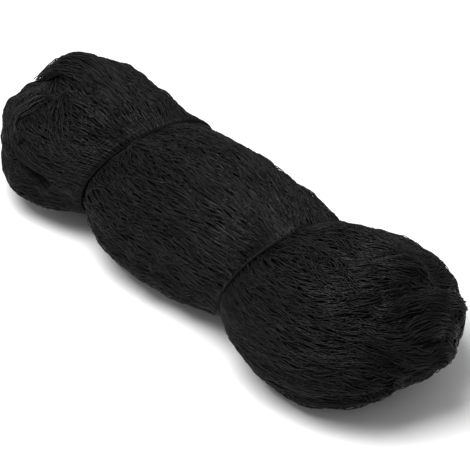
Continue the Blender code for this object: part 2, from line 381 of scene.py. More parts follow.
class Chart(ABC):
    """A flat map of a lobe in complex numbers, on which a lock of twines is drawn."""

    def __init__(self, points: Array, normals: Array) -> None:
        """Keeps the grid of points and normals that the chart reads."""
        self.points = points
        self.normals = normals

    @abstractmethod
    def plane(self, place: Pair) -> complex:
        """Where a place, a pair of lobe coordinates, lies on the chart."""

    @abstractmethod
    def grid(self, plane: Array) -> tuple[Array, Array]:
        """The grid's shares and turns at places on the chart."""

    @property
    @abstractmethod
    def scale(self) -> float:
        """Roughly how much of the chart one metre takes."""

    def at(self, plane: Array) -> tuple[Array, Array]:
        """Reads the skin at places on the chart.

        Args:
            plane: The places, complex numbers.

        Returns:
            The points and the unit normals there.
        """
        shares, turns = self.grid(plane)
        return (
            read_grid(self.points, shares, turns),
            unit(read_grid(self.normals, shares, turns)),
        )

    def sideways(self, line: Array) -> Array:
        """Finds the step on the chart that moves each point of a line one metre to its side.

        The step s solves A x + B y = side, for s = x + i y, where A and B are how the skin's
        point moves with the real and the imaginary part, and side is the cross product of the
        line's direction and the normal.

        Args:
            line: Complex numbers, a line on the chart.

        Returns:
            The steps, complex numbers.
        """
        probe = 0.0005 * self.scale
        here, normals = self.at(line)
        real = (self.at(line + probe)[0] - here) / probe
        imaginary = (self.at(line + 1j * probe)[0] - here) / probe
        side = unit(np.cross(np.gradient(here, axis=-2), normals))
        aa, ab, bb = (np.sum(u * v, axis=-1) for u, v in (
            (real, real), (real, imaginary), (imaginary, imaginary),
        ))
        a, b = np.sum(real * side, axis=-1), np.sum(imaginary * side, axis=-1)
        determinant = np.maximum(aa * bb - ab * ab, TINY)
        return ((a * bb - b * ab) + 1j * (b * aa - a * ab)) / determinant


class Belt(Chart):
    """A lobe unrolled along its twines. A place is a share and a turn."""

    def __init__(self, lay: Lay) -> None:
        """Unrolls the lay at its full girth."""
        super().__init__(lay.points, lay.normals)
        self.lay = lay

    @property
    def scale(self) -> float:
        """The chart is in metres."""
        return 1.0

    def plane(self, place: Pair) -> complex:
        """Share times length, and turn times girth."""
        return complex(place[0] * self.lay.length, place[1] * self.lay.girth)

    def grid(self, plane: Array) -> tuple[Array, Array]:
        """The share and the turn again."""
        return plane.real / self.lay.length, plane.imag / self.lay.girth


class Disc(Chart):
    """The end of an outer lobe. A place is how far out it lies, 0 the tip, and its turn."""

    @property
    def scale(self) -> float:
        """The disc's radius is about as long as the lobe."""
        return 1.0 / float(np.linalg.norm(self.points[-1, 0] - self.points[0, 0]))

    def plane(self, place: Pair) -> complex:
        """Polar coordinates as a complex number."""
        return place[0] * cmath.exp(1j * FULL_TURN * place[1])

    def grid(self, plane: Array) -> tuple[Array, Array]:
        """The complex number's size and its argument in turns."""
        return np.abs(plane), np.angle(plane) / FULL_TURN


@dataclass(frozen=True)
class Furrow:
    """A pucker between two folds of an outer lobe, into which every turn of the net sinks."""

    places: tuple[Pair, ...]  # on the lobe's disc
    depth: float = 0.0050
    width: float = 0.0024
    points: int = 40

    def sink(self, skin: Disc) -> Array:
        """How deep each point of a lobe's skin sinks: depth exp(-(distance / width) ** 2).

        The depth fades to nothing at the furrow's two ends, as sin(pi t) ** 0.5.

        Args:
            skin: The lobe's disc.

        Returns:
            Metres, rows by columns by 1.
        """
        corners = np.array([skin.plane(place) for place in self.places])
        t = np.linspace(0, 1, self.points)
        line = skin.at(np.interp(t, np.linspace(0, 1, len(corners)), corners))[0]
        apart = np.linalg.norm(skin.points[:, :, None] - line, axis=-1)
        nearest = apart.argmin(axis=-1)
        fade = np.sqrt(np.sin(math.pi * t))[nearest]
        return (self.depth * fade * np.exp(-((apart.min(axis=-1) / self.width) ** 2)))[..., None]


def outward_normals(points: Array, heart: Array) -> Array:
    """Normals of a grid, the cross product of its two directions, turned away from a line.

    Args:
        points: Rows by columns by 3, closed round its columns.
        heart: Points inside the form, one for each row.

    Returns:
        Unit normals, in the same rows and columns.
    """
    along = np.gradient(points, axis=0)
    around = np.roll(points, -1, axis=1) - np.roll(points, 1, axis=1)
    normals = np.cross(along, around)
    away = np.sum(normals * (points - heart[:, None]), axis=2, keepdims=True)
    normals = np.where(away < 0, -normals, normals)
    normals[0], normals[-1] = normals[1], normals[-2]
    return unit(normals)


def soften(points: Array, passes: int) -> Array:
    """Smooths a grid with weights 1, 2, 1 both ways and leaves its first and last rows.

    Args:
        points: Rows by columns by 3, closed round its columns.
        passes: How many times.

    Returns:
        The smoothed grid.
    """
    smooth = points.copy()
    for _ in range(passes):
        round_it = np.roll(smooth, 1, axis=1) + 2 * smooth + np.roll(smooth, -1, axis=1)
        smooth[1:-1] = (round_it[:-2] + 2 * round_it[1:-1] + round_it[2:]) / 16
    return smooth


@dataclass
class MiddleLobe:
    """The lobe between the two waists, whose twines run along the hank."""

    start: Waist
    end: Waist
    rows: int = 72
    columns: int = 160
    ray_radius: float = 0.004
    softening: int = 2  # times that its grid is smoothed

    def lay(self, skin: Skin) -> Lay:
        """Casts rays from the line between the waists, in planes across the hank.

        Args:
            skin: The hank's skin.

        Returns:
            The lobe in the coordinates of its twines.
        """
        turns = np.arange(self.columns) / self.columns
        shares = (1 - np.cos(math.pi * np.linspace(0.0, 1.0, self.rows))) / 2
        heart = self.start.middle + (self.end.middle - self.start.middle) * shares[:, None]
        ray = np.stack((0 * turns, np.cos(FULL_TURN * turns), np.sin(FULL_TURN * turns)), -1)
        points = skin.cast(heart[:, None] + self.ray_radius * ray)
        points[0] = self.start.ring(turns, CORD_RADIUS)
        points[-1] = self.end.ring(turns, CORD_RADIUS)
        points = soften(points, self.softening)
        normals = outward_normals(points, heart)
        old_shares, _ = even_rows(points, self.rows)
        turns = np.broadcast_to(turns, old_shares.shape)
        return Lay(
            points=read_grid(points, old_shares, turns),
            normals=unit(read_grid(normals, old_shares, turns)),
        )


@dataclass
class OuterLobe:
    """A lobe at an end of the hank, whose twines run from its waist to its eye.

    A point of the lobe is a complex number in the unit disc: 0 is the tip, the rim is the
    waist, and the argument is the turn. The twines are the circles that pass through the eye
    and meet the rim squarely.
    """

    side: Side
    waist: Waist
    tip: float  # x of the outermost point
    heart_share: float  # where its heart lies, from the waist (0) to the tip (1)
    heart_rise: float  # height of the heart
    eye_turn: float
    eye_out: float  # how far the eye lies from the tip (0) to the waist (1)
    furrows: tuple[Furrow, ...] = ()
    rows: int = 96
    columns: int = 224
    ray_radius: float = 0.004
    softening: int = 10  # times that its grid is smoothed

    def skin_grid(self, skin: Skin) -> tuple[Array, Array]:
        """Casts rays from the lobe's heart, from the tip's direction to the waist's.

        Args:
            skin: The hank's skin.

        Returns:
            Points and normals, in rows from the tip to the waist.
        """
        turns = np.arange(self.columns) / self.columns
        sign = self.side.value
        heart = self.waist.middle.copy()
        heart[0] += (self.tip - self.waist.at) * self.heart_share
        heart[2] = self.heart_rise
        rim = self.waist.ring(turns, CORD_RADIUS)
        to_rim = unit(rim - heart)
        widest = np.arccos(to_rim[:, 0] * sign)
        bearing = np.arctan2(to_rim[:, 2], to_rim[:, 1])
        polar = np.linspace(0.0, 1.0, self.rows)[:, None] * widest
        ray = np.stack(
            (
                sign * np.cos(polar),
                np.sin(polar) * np.cos(bearing),
                np.sin(polar) * np.sin(bearing),
            ),
            axis=-1,
        )
        away = Side.NEAR if self.side is Side.FAR else Side.FAR
        points = skin.cast(heart + self.ray_radius * ray, away)
        points[0] = points[0].mean(axis=0)
        points[-1] = rim
        points = soften(points, self.softening)
        normals = outward_normals(points, np.broadcast_to(heart, (self.rows, 3)))
        smooth = Disc(points, normals)
        return points - normals * sum(furrow.sink(smooth) for furrow in self.furrows), normals

    def lay(self, skin: Skin) -> Lay:
        """Bends the disc so that its middle comes to the eye: (w + e) / (1 + conj(e) w).

        Args:
            skin: The hank's skin.

        Returns:
            The lobe in the coordinates of its twines, from the waist to the eye.
        """
        points, normals = self.skin_grid(skin)
        eye = self.eye_out * np.exp(1j * FULL_TURN * self.eye_turn)
        rim = np.exp(1j * FULL_TURN * np.arange(self.columns) / self.columns)
        straight = (rim - eye) / (1 - np.conj(eye) * rim)
        bent = np.linspace(1.0, 0.0, 4 * self.rows)[:, None] * straight
        disc = (bent + eye) / (1 + np.conj(eye) * bent)
        out, turn = np.abs(disc), np.angle(disc) / FULL_TURN
        old_shares, _ = even_rows(read_grid(points, out, turn), self.rows)
        line = np.broadcast_to(np.arange(self.columns) / self.columns, old_shares.shape)
        disc_at = read_grid(np.stack((disc.real, disc.imag), axis=-1), old_shares, line)
        disc = disc_at[..., 0] + 1j * disc_at[..., 1]
        out, turn = np.abs(disc), np.angle(disc) / FULL_TURN
        return Lay(
            points=read_grid(points, out, turn),
            normals=unit(read_grid(normals, out, turn)),
        )


# ---- Twine meshes ----


@dataclass(frozen=True)
class Twine:
    """The net's twine."""

    radius: float = 0.00031
    unevenness: float = 0.12  # share by which one twine is thicker or thinner than another
    knot: float = 0.00060  # half the width of a knot
    bar: float = 0.020  # length from knot to knot
    clearance: float = 1.2  # least height of a twine's middle line, in radii

    def radii(self, count: int, random: Generator) -> Array:
        """Half the thickness of that many twines."""
        return self.radius * random.uniform(1 - self.unevenness, 1 + self.unevenness, count)


class TwineMesh:
    """Gathers twines and knots as plain arrays and turns them into one mesh object."""

    def __init__(self, sides: int = 3) -> None:
        """Starts an empty mesh.

        Args:
            sides: How many sides its twines have.
        """
        self.sides = sides
        self.points: list[Array] = []
        self.maps: list[Array] = []
        self.corners: list[Array] = []
        self.counts: list[Array] = []
        self.total = 0

    def _keep(self, points: Array, faces: Array, uv: Array) -> None:
        """Adds points and faces.

        Args:
            points: The points, in order.
            faces: Faces by corners, counted from the first of these points.
            uv: Each corner's place on the map.
        """
        self.points.append(points.reshape(-1, 3))
        self.corners.append(faces.reshape(-1) + self.total)
        self.counts.append(np.full(faces.size // faces.shape[-1], faces.shape[-1]))
        self.maps.append(uv.reshape(-1, 2))
        self.total += points.size // 3

    def add_twines(self, paths: Array, normals: Array, radii: Array, slots: Array) -> None:
        """Carries a small ring along each path, with its first corner turned outwards.

        Args:
            paths: Twines by points by 3.
            normals: The outward directions there.
            radii: Half the thickness of each twine.
            slots: The tone slot of each twine, counted from 0.
        """
        twines, count = paths.shape[:2]
        sides = self.sides
        along = unit(np.gradient(paths, axis=1))
        across = unit(np.cross(along, normals))
        up = np.cross(across, along)
        angle = FULL_TURN * np.arange(sides) / sides
        ring = paths[:, :, None] + radii[:, None, None, None] * (
            np.cos(angle)[:, None] * up[:, :, None] + np.sin(angle)[:, None] * across[:, :, None]
        )
        index = np.arange(ring.size // 3).reshape(twines, count, sides)
        onward = np.roll(index, -1, axis=2)
        quads = np.stack((index[:, :-1], onward[:, :-1], onward[:, 1:], index[:, 1:]), axis=-1)
        steps = np.linalg.norm(np.diff(paths, axis=1), axis=2)
        run = np.concatenate((np.zeros((twines, 1)), np.cumsum(steps, axis=1)), axis=1)
        v = np.clip(run / MAP_LENGTH, 0.0, 1.0)
        v = np.stack((v[:, :-1], v[:, :-1], v[:, 1:], v[:, 1:]), axis=-1)[:, :, None]
        corner = np.arange(sides)[:, None] + (0, 1, 1, 0)
        u = (slots[:, None, None] + SLOT_FILL * corner / sides)[:, None] / TONE_SLOTS
        uv = np.stack(np.broadcast_arrays(u, v), axis=-1)
        self._keep(ring, quads, uv)
        first = self.total - index.size
        for cap in (index[:, 0, ::-1], index[:, -1]):
            self.corners.append(cap.reshape(-1) + first)
            self.counts.append(np.full(twines, sides))
            self.maps.append(uv[:, 0, :, 0].reshape(-1, 2))

    def add_drawn(
        self, points: Array, normals: Array, twine: Twine, random: Generator, thickness: float = 1.0
    ) -> None:
        """Adds twines with tones and thicknesses drawn for each.

        Args:
            points: Twines by points by 3, which are lifted out of the ground where they stand.
            normals: The outward directions there.
            twine: Their kind.
            random: What draws.
            thickness: How thick they are, in twines.
        """
        points[..., 2] = np.maximum(points[..., 2], twine.clearance * twine.radius)
        slots = random.integers(0, TONE_SLOTS, len(points))
        self.add_twines(points, normals, thickness * twine.radii(len(points), random), slots)

    def add_knots(self, centres: Array, size: float, slots: Array) -> None:
        """Puts an eight-faced bead at each centre.

        Args:
            centres: Knots by 3.
            size: Half the width of a bead.
            slots: The tone slot of each knot.
        """
        corner = size * np.array(
            ((1, 0, 0), (0, 1, 0), (-1, 0, 0), (0, -1, 0), (0, 0, 1), (0, 0, -1)), float
        )
        beads = centres[:, None] + corner
        upper = ((0, 1, 4), (1, 2, 4), (2, 3, 4), (3, 0, 4))
        lower = ((1, 0, 5), (2, 1, 5), (3, 2, 5), (0, 3, 5))
        faces = np.array(upper + lower)
        index = np.arange(len(centres))[:, None, None] * len(corner) + faces
        across = SLOT_FILL * np.array((0.0, 1.0, 0.5))
        u = (slots[:, None, None] + across) / TONE_SLOTS
        u = np.broadcast_to(u, index.shape)
        v = np.broadcast_to(np.array((0.0, 0.0, 2 * size / MAP_LENGTH)), index.shape)
        self._keep(beads, index, np.stack((u, v), axis=-1))

    def build(self, name: str, material: Material) -> Piece:
        """Makes the mesh object.

        Args:
            name: The name of the piece.
            material: Its finish.

        Returns:
            The piece, at the origin.
        """
        points = np.concatenate(self.points).astype(np.float32)
        corners = np.concatenate(self.corners).astype(np.int32)
        counts = np.concatenate(self.counts)
        starts = np.concatenate(((0,), np.cumsum(counts)[:-1])).astype(np.int32)
        mesh = bpy.data.meshes.new(name)
        mesh.vertices.add(len(points))
        mesh.vertices.foreach_set("co", points.ravel())
        mesh.loops.add(len(corners))
        mesh.loops.foreach_set("vertex_index", corners)
        mesh.polygons.add(len(starts))
        mesh.polygons.foreach_set("loop_start", starts)
        uv = mesh.uv_layers.new(name=TWINE_MAP)
        uv.data.foreach_set("uv", np.concatenate(self.maps).astype(np.float32).ravel())
        mesh.materials.append(material)
        mesh.update(calc_edges=True)
        mesh.validate()
        mesh.shade_smooth()
        return linked(name, mesh)


# ---- The netting ----


@dataclass(frozen=True)
class Crimp:
    """The small waves of twines that were knotted and packed. Sizes are in metres."""

    shared: float = 0.00026  # how far neighbours sway together
    own: float = 0.00014  # how far each sways by itself
    ramble: float = 0.00100  # how far each crosses its neighbours in longer waves
    weave: float = 0.00038  # how far each rises over its neighbours and dips under them
    wave: Pair = (0.009, 0.022)  # the sway's shortest and longest wave
    ramble_wave: Pair = (0.030, 0.080)
    weave_wave: Pair = (0.008, 0.030)
    abreast: float = 0.008  # distance over which neighbours sway alike
    own_waves: int = 3

    def at(
        self, shares: Array, turns: Array, length: Array | float, girth: float, seed: int
    ) -> tuple[Array, Array]:
        """Sums sines along the twines, some with a phase that runs across them.

        Args:
            shares: Twines by points, where along the twines.
            turns: Where across them, 1 being a girth.
            length: Metres to a share of 1, for all twines or for each in a column.
            girth: Metres to a turn.
            seed: Seed of the waves.

        Returns:
            Metres aside and metres above, each twines by points.
        """
        mean = float(np.mean(length))
        most, fewest = mean / self.wave[0], mean / self.wave[1]
        around = max(1, round(girth / self.abreast))
        shared = RandomField(seed, self.shared, (fewest, most), around, FINE_WAVES)
        random = np.random.default_rng(seed + 1)
        aside = shared.at(shares, turns) * np.minimum(1, length / mean)
        aside = aside + self._own(self.own, self.wave, shares, length, random)
        aside = aside + self._own(self.ramble, self.ramble_wave, shares, length, random)
        above = self._own(self.weave, self.weave_wave, shares, length, random)
        return aside, above

    def _own(
        self, size: float, wave: Pair, shares: Array, length: Array | float, random: Generator
    ) -> Array:
        """Sums sines whose length and phase each twine draws for itself.

        Args:
            size: Root mean square of the sum.
            wave: The shortest and the longest wave, in metres.
            shares: Twines by points, where along the twines.
            length: Metres to a share of 1.
            random: What draws.

        Returns:
            Metres, twines by points.
        """
        total = np.zeros(shares.shape)
        column = (len(shares), 1)
        for _ in range(self.own_waves):
            count = length / random.uniform(*wave, column)
            total += np.sin(FULL_TURN * (count * shares + random.random(column)))
        return total * size * math.sqrt(2 / self.own_waves)


PRESSED = 0.0001  # highest that a twine of a turn lies off the skin, but for its swelling

# The bunches that neighbouring twines form, in metres.
BUNCH_SHORTEST = 0.018
BUNCH_LONGEST = 0.075
BUNCH_WIDTH = 0.0050

# The waves in which wide bands of twines wander.
DRIFT_WAVES = (0.7, 2.6)  # along a lobe
DRIFT_WAVES_AROUND = 6

UNEVEN_AT_CORD = 0.25  # share of their ups and downs that twines keep at a cord


@dataclass(frozen=True)
class Gather:
    """How one turn of the net lies in a lobe. Sizes are in metres."""

    density: float  # twines side by side to a metre round the lobe
    depth: float  # how far they lie below the skin
    drift: float  # how far wide bands of twines wander sideways
    bunch: float  # how far twines draw together sideways into bunches
    heave: float  # how far the bunches rise and fall
    slack: float  # how far a bar bows out between its knots
    steps: int  # points of a bar
    crimp: Crimp = Crimp()
    knotted: bool = True
    thickness: float = 1.0  # of its twines, in twines


@dataclass(frozen=True)
class Tie:
    """How a cord holds the twines of a lobe that start or end at it. Sizes are in metres."""

    reach: float  # length over which it keeps them straight
    shoulder: float  # how far they swell up beside it
    shoulder_at: float = 0.007
    shoulder_width: float = 0.006
    pleats: int = 0  # twines that lie taut on top of the others beside it


UNDER_CORD = 0.0022  # length beside a cord over which the twines rise from under it
LOOSE = Tie(reach=0.0, shoulder=0.0)
LEFT_OF_CORD = Tie(
    reach=0.022, shoulder=0.0012, shoulder_at=0.0045, shoulder_width=0.005, pleats=210,
)
RIGHT_OF_CORD = Tie(
    reach=0.012, shoulder=0.0006, shoulder_at=0.0035, shoulder_width=0.003, pleats=150,
)


@dataclass
class Bed:
    """What the twines of a lobe lie on, and what holds them at the two ends of the lay."""

    lay: Lay
    start: Tie
    end: Tie
    plunge: float = 0.0  # how deep the twines dive at the end of the lay
    plunge_reach: float = 0.012

    def held(self, shares: Array) -> tuple[Array, Array]:
        """How free the twines are, 0 at a cord and 1 away from it, and how far they swell.

        Args:
            shares: Where along the lay.

        Returns:
            The freedom, and the swelling in metres.
        """
        free, swell = np.ones(shares.shape), np.zeros(shares.shape)
        for tie, away in ((self.start, shares), (self.end, 1 - shares)):
            away = away * self.lay.length
            if tie.reach > 0:
                free = free * smooth_step(away / tie.reach)
                off = (away - tie.shoulder_at) / tie.shoulder_width
                rise = smooth_step(away / UNDER_CORD) * np.exp(-(off**2))
                swell = swell + tie.shoulder * rise
        if self.plunge > 0:
            left = (1 - shares) * self.lay.length / self.plunge_reach
            swell = swell - self.plunge * (1 - smooth_step(left))
        return free, swell


@dataclass(frozen=True)
class Pleats:
    """Twines drawn tight side by side, from a cord to where they sink among the others."""

    tie: Tie
    at_end: bool  # at the end of the lay and not at its start
    length: Pair = (0.014, 0.030)
    above: float = 0.0005
    sink: float = 0.0016
    sway: float = 0.00012
    stray: float = 0.4  # most by which one lies off its place, in places
    least: float = 0.3  # share of its height that the lowest has
    points: int = 9

    def add_to(self, mesh: TwineMesh, bed: Bed, twine: Twine, seed: int) -> None:
        """Adds the pleats: points at t ** 1.5 of the length, sunk by sink times t ** 2.

        Args:
            mesh: The mesh that gets them.
            bed: The bed they lie on.
            twine: Their kind.
            seed: Seed of their places.
        """
        random = np.random.default_rng(seed)
        count = self.tie.pleats
        lay, column = bed.lay, (count, 1)
        t = np.linspace(0, 1, self.points)
        away = random.uniform(*self.length, column) * t**1.5 / lay.length
        shares = 1 - away if self.at_end else away
        off = random.uniform(-self.stray, self.stray, column)
        turns = np.broadcast_to((np.arange(count)[:, None] + off) / count, shares.shape)
        swell = bed.held(shares)[1]
        rise = smooth_step(away * lay.length / UNDER_CORD)
        height = self.above * random.uniform(self.least, 1.0, column) * rise
        aside = self.sway * random.normal(size=(count, self.points)).cumsum(axis=1) * t
        above = height - self.sink * t**2 + swell
        mesh.add_drawn(*lay.place(shares, turns, aside, above), twine, random)


@dataclass
class NetSheet:
    """One turn of the net round a lobe, gathered until its twines lie side by side."""

    bed: Bed
    twine: Twine
    gather: Gather
    seed: int
    knot_along: float = 0.42  # most by which a knot lies off its row, in rows
    knot_aside: float = 0.6  # and off its place between two twines, in twines
    knot_above: float = 0.4  # and up or down, in slacks

    @property
    def twines(self) -> int:
        """How many twines lie side by side: an even number, so that all have a partner."""
        return 2 * round(self.gather.density * self.bed.lay.girth / 2)

    def knots(self) -> Array:
        """Where each twine is knotted, in twine coordinates.

        In even rows twine 2 m meets twine 2 m + 1, and in odd rows twine 2 m meets 2 m - 1.

        Returns:
            Shares, turns, metres aside and metres above, in an array of twines by rows by 4.
        """
        random = np.random.default_rng(self.seed)
        lay, twines = self.bed.lay, self.twines
        rows = max(3, round(lay.length / self.twine.bar) + 1)
        row = np.arange(rows)
        odd = row % 2
        twine = np.arange(twines)[:, None]
        pair = (twine + odd) // 2
        turns = (2 * pair + 0.5 - odd) / twines
        knot = pair % (twines // 2)
        spread = random.uniform(-1, 1, (3, twines // 2, rows))[:, knot, row]
        inner = (row > 0) & (row < rows - 1)
        shares = (row + self.knot_along * spread[0] * inner) / (rows - 1)
        aside = spread[1] * self.knot_aside * lay.girth / twines
        above = spread[2] * self.gather.slack * self.knot_above
        return np.stack((shares, turns, aside, above), axis=-1)

    def paths(self) -> tuple[Array, Array]:
        """Runs each twine through its knots, bowed between them as a half sine wave.

        Returns:
            Points and outward normals, each twines by points by 3.
        """
        random = np.random.default_rng(self.seed + 1)
        knots = self.knots()
        t = (np.arange(self.gather.steps) / self.gather.steps)[:, None]
        start, end = knots[:, :-1, None], knots[:, 1:, None]
        bars = start + (end - start) * t
        bow = random.normal(0, self.gather.slack, (2, *knots[:, :-1, 0].shape, 1))
        bars[..., 2] += bow[0] * np.sin(math.pi * t[:, 0])
        bars[..., 3] += 0.5 * bow[1] * np.sin(math.pi * t[:, 0])
        run = np.concatenate((bars.reshape(len(knots), -1, 4), knots[:, -1:]), axis=1)
        return self._laid(*np.moveaxis(run, -1, 0))

    def _laid(self, shares: Array, turns: Array, aside: Array, above: Array) -> tuple[Array, Array]:
        """Adds the wandering of bunches and twines and puts them on the lobe.

        Args:
            shares: Where along the lobe.
            turns: Where round it.
            aside: Metres sideways.
            above: Metres up.

        Returns:
            Points and outward normals.
        """
        g, seed, lay = self.gather, self.seed, self.bed.lay
        free, swell = self.bed.held(shares)
        length = read_grid(lay.lengths, shares, turns)[..., 0]
        short = np.minimum(1, length / lay.length)
        sway, weave = g.crimp.at(shares, turns, length, lay.girth, seed + 3)
        drift = RandomField(seed + 2, g.drift, DRIFT_WAVES, DRIFT_WAVES_AROUND).at(shares, turns)
        waves = (lay.length / BUNCH_LONGEST, lay.length / BUNCH_SHORTEST)
        around = round(lay.girth / BUNCH_WIDTH)
        bunch = RandomField(seed + 4, g.bunch, waves, around, FINE_WAVES).at(shares, turns)
        heave = RandomField(seed + 5, g.heave, waves, around, FINE_WAVES).at(shares, turns)
        aside = ((aside + drift + bunch) * short + sway) * free
        loose = UNEVEN_AT_CORD + (1 - UNEVEN_AT_CORD) * free
        above = ((above + heave) * short + weave) * loose - g.depth
        return lay.place(shares, turns, aside, np.minimum(above, PRESSED) + swell)

    def add_to(self, mesh: TwineMesh) -> None:
        """Adds the sheet's twines and knots.

        Args:
            mesh: The mesh that gets them.
        """
        random = np.random.default_rng(self.seed + 9)
        paths, normals = self.paths()
        mesh.add_drawn(paths, normals, self.twine, random, self.gather.thickness)
        if self.gather.knotted:
            inner = paths[:, self.gather.steps : -1 : self.gather.steps].reshape(-1, 3)
            some = inner[::2]  # half of them, because two twines meet at a knot
            mesh.add_knots(some, self.twine.knot, random.integers(0, TONE_SLOTS, len(some)))


@dataclass(frozen=True)
class Lock:
    """A bunch of twines that crosses the others. Its places are those of a chart."""

    start: Pair
    middle: Pair
    end: Pair
    half_width: float = 0.008
    height: float = 0.0012
    twines: int = 14
    layers: int = 1
    pinch: float = 0.4  # share of its width that it keeps at its ends
    squareness: float = 0.5  # power of its section: less has steeper edges
    tuck: float = 0.0012  # how deep its ends and edges go under the skin
    step: float = 0.0025  # length between its points
    ragged: float = 0.22  # share of its length over which its twines begin and end
    stray: float = 0.7  # most by which a twine lies off its place, in half places
    fewest_points: int = 8
    measured_at: int = 25  # points at which its length is measured
    crimp: Crimp = Crimp(own=0.00022, ramble=0.0006, weave=0.0005)

    def paths(self, chart: Chart, seed: int) -> tuple[Array, Array]:
        """Lays the twines beside a quadratic curve through the lock's three places.

        The bunch is as wide as pinch + (1 - pinch) sin(pi t) ** 0.7 of its full width, and it
        rises as (1 - l ** 2) ** squareness sin(pi t) ** 0.7, where t runs along it and l across.

        Args:
            chart: The lobe's chart.
            seed: Seed of its waves.

        Returns:
            Points and outward normals, each twines by points by 3.
        """
        random = np.random.default_rng(seed)
        a, m, b = (chart.plane(place) for place in (self.start, self.middle, self.end))
        control = 2 * m - (a + b) / 2
        middle_line = chart.at(self._curve(a, control, b, np.linspace(0, 1, self.measured_at)))[0]
        length = np.linalg.norm(np.diff(middle_line, axis=0), axis=1).sum()
        along = np.linspace(0, 1, max(self.fewest_points, round(length / self.step)))
        count = self.twines * self.layers
        first, left_out = random.uniform(0, self.ragged, (2, count, 1))
        t = first + (1 - first - left_out) * along
        line = self._curve(a, control, b, t)
        across = np.tile((np.arange(self.twines) + 0.5) / self.twines * 2 - 1, self.layers)
        off = random.uniform(-self.stray, self.stray, count) / self.twines
        across = np.clip(across + off, -1, 1)
        layer = np.repeat(np.arange(self.layers), self.twines)[:, None]
        wide = self.half_width * (self.pinch + (1 - self.pinch) * np.sin(math.pi * t) ** 0.7)
        girth = FULL_TURN * self.half_width
        turns = np.broadcast_to(across[:, None] * self.half_width / girth, t.shape)
        sway, weave = self.crimp.at(t, turns, length, girth, seed + 1)
        aside = across[:, None] * wide + sway
        rise = ((1 - across**2) ** self.squareness)[:, None] * np.sin(math.pi * along) ** 0.7
        above = (self.height + self.tuck) * rise - self.tuck - np.abs(weave) * rise
        above = above - layer * self.height / self.layers
        points, normals = chart.at(line + chart.sideways(line) * aside)
        return points + normals * above[..., None], normals

    @staticmethod
    def _curve(a: complex, control: complex, b: complex, t: Array) -> Array:
        """(1 - t) ** 2 a + 2 t (1 - t) control + t ** 2 b."""
        return (1 - t) ** 2 * a + 2 * t * (1 - t) * control + t**2 * b

    def add_to(self, mesh: TwineMesh, chart: Chart, twine: Twine, seed: int) -> None:
        """Adds the lock's twines to a mesh."""
        random = np.random.default_rng(seed + 9)
        mesh.add_drawn(*self.paths(chart, seed), twine, random)


@dataclass(frozen=True)
class Strays:
    """Single twines that have worked loose from a lobe and stand a little off it."""

    count: int = 270
    length: Pair = (0.010, 0.034)
    height: Pair = (0.0001, 0.0004)
    slant: float = 0.30  # most by which one crosses the others, metres aside to a metre along
    points: int = 11
    starts: Pair = (0.02, 0.88)  # the shares between which they start
    sink: float = 0.0010  # how deep their ends go
    crimp: Crimp = Crimp(own=0.0004, weave=0.0002)

    def add_to(self, mesh: TwineMesh, bed: Bed, twine: Twine, seed: int) -> None:
        """Adds the strays: each rises as sin(pi t) ** 0.8 and sinks in again at its ends.

        Args:
            mesh: The mesh that gets them.
            bed: The bed they lie on.
            twine: Their kind.
            seed: Seed of their places.
        """
        random = np.random.default_rng(seed)
        lay, column = bed.lay, (self.count, 1)
        t = np.linspace(0, 1, self.points)
        length = random.uniform(*self.length, column)
        start = random.uniform(*self.starts, column)
        shares = np.clip(start + length / lay.length * t, 0, 1)
        turns = np.broadcast_to(random.random(column), shares.shape)
        sway, weave = self.crimp.at(shares, turns, lay.length, lay.girth, seed + 1)
        slant = random.uniform(-self.slant, self.slant, column)
        height = self.height[0] + (self.height[1] - self.height[0]) * random.random(column) ** 3
        free, swell = bed.held(shares)
        rise = np.sin(math.pi * t) ** 0.8
        aside = (slant * length * (t - 0.5) + sway) * free
        above = (height + self.sink) * rise - self.sink - np.abs(weave) * rise + swell
        mesh.add_drawn(*lay.place(shares, turns, aside, above), twine, random)


@dataclass(frozen=True)
class Tangle:
    """A small ball that a twine's end was knotted into."""

    place: Pair  # on the lobe's chart
    above: float = 0.0012
    radius: float = 0.0017
    loops: int = 7
    points: int = 20
    sizes: Pair = (0.75, 1.1)  # of the smallest and the largest loop, in radii

    def add_to(self, mesh: TwineMesh, chart: Chart, twine: Twine, seed: int) -> None:
        """Adds rings of twine round one centre, each tilted its own way.

        Args:
            mesh: The mesh that gets them.
            chart: The lobe's chart.
            twine: Their kind.
            seed: Seed of their tilts.
        """
        random = np.random.default_rng(seed)
        foot, normal = chart.at(np.array([chart.plane(self.place)]))
        centre = foot[0] + normal[0] * self.above
        first = unit(random.normal(size=(self.loops, 3)))
        second = unit(np.cross(first, random.normal(size=(self.loops, 3))))
        angle = FULL_TURN * np.linspace(0, 1, self.points)[:, None]
        ring = np.cos(angle) * first[:, None] + np.sin(angle) * second[:, None]
        size = self.radius * random.uniform(*self.sizes, (self.loops, 1, 1))
        mesh.add_drawn(centre + size * ring, ring, twine, random)


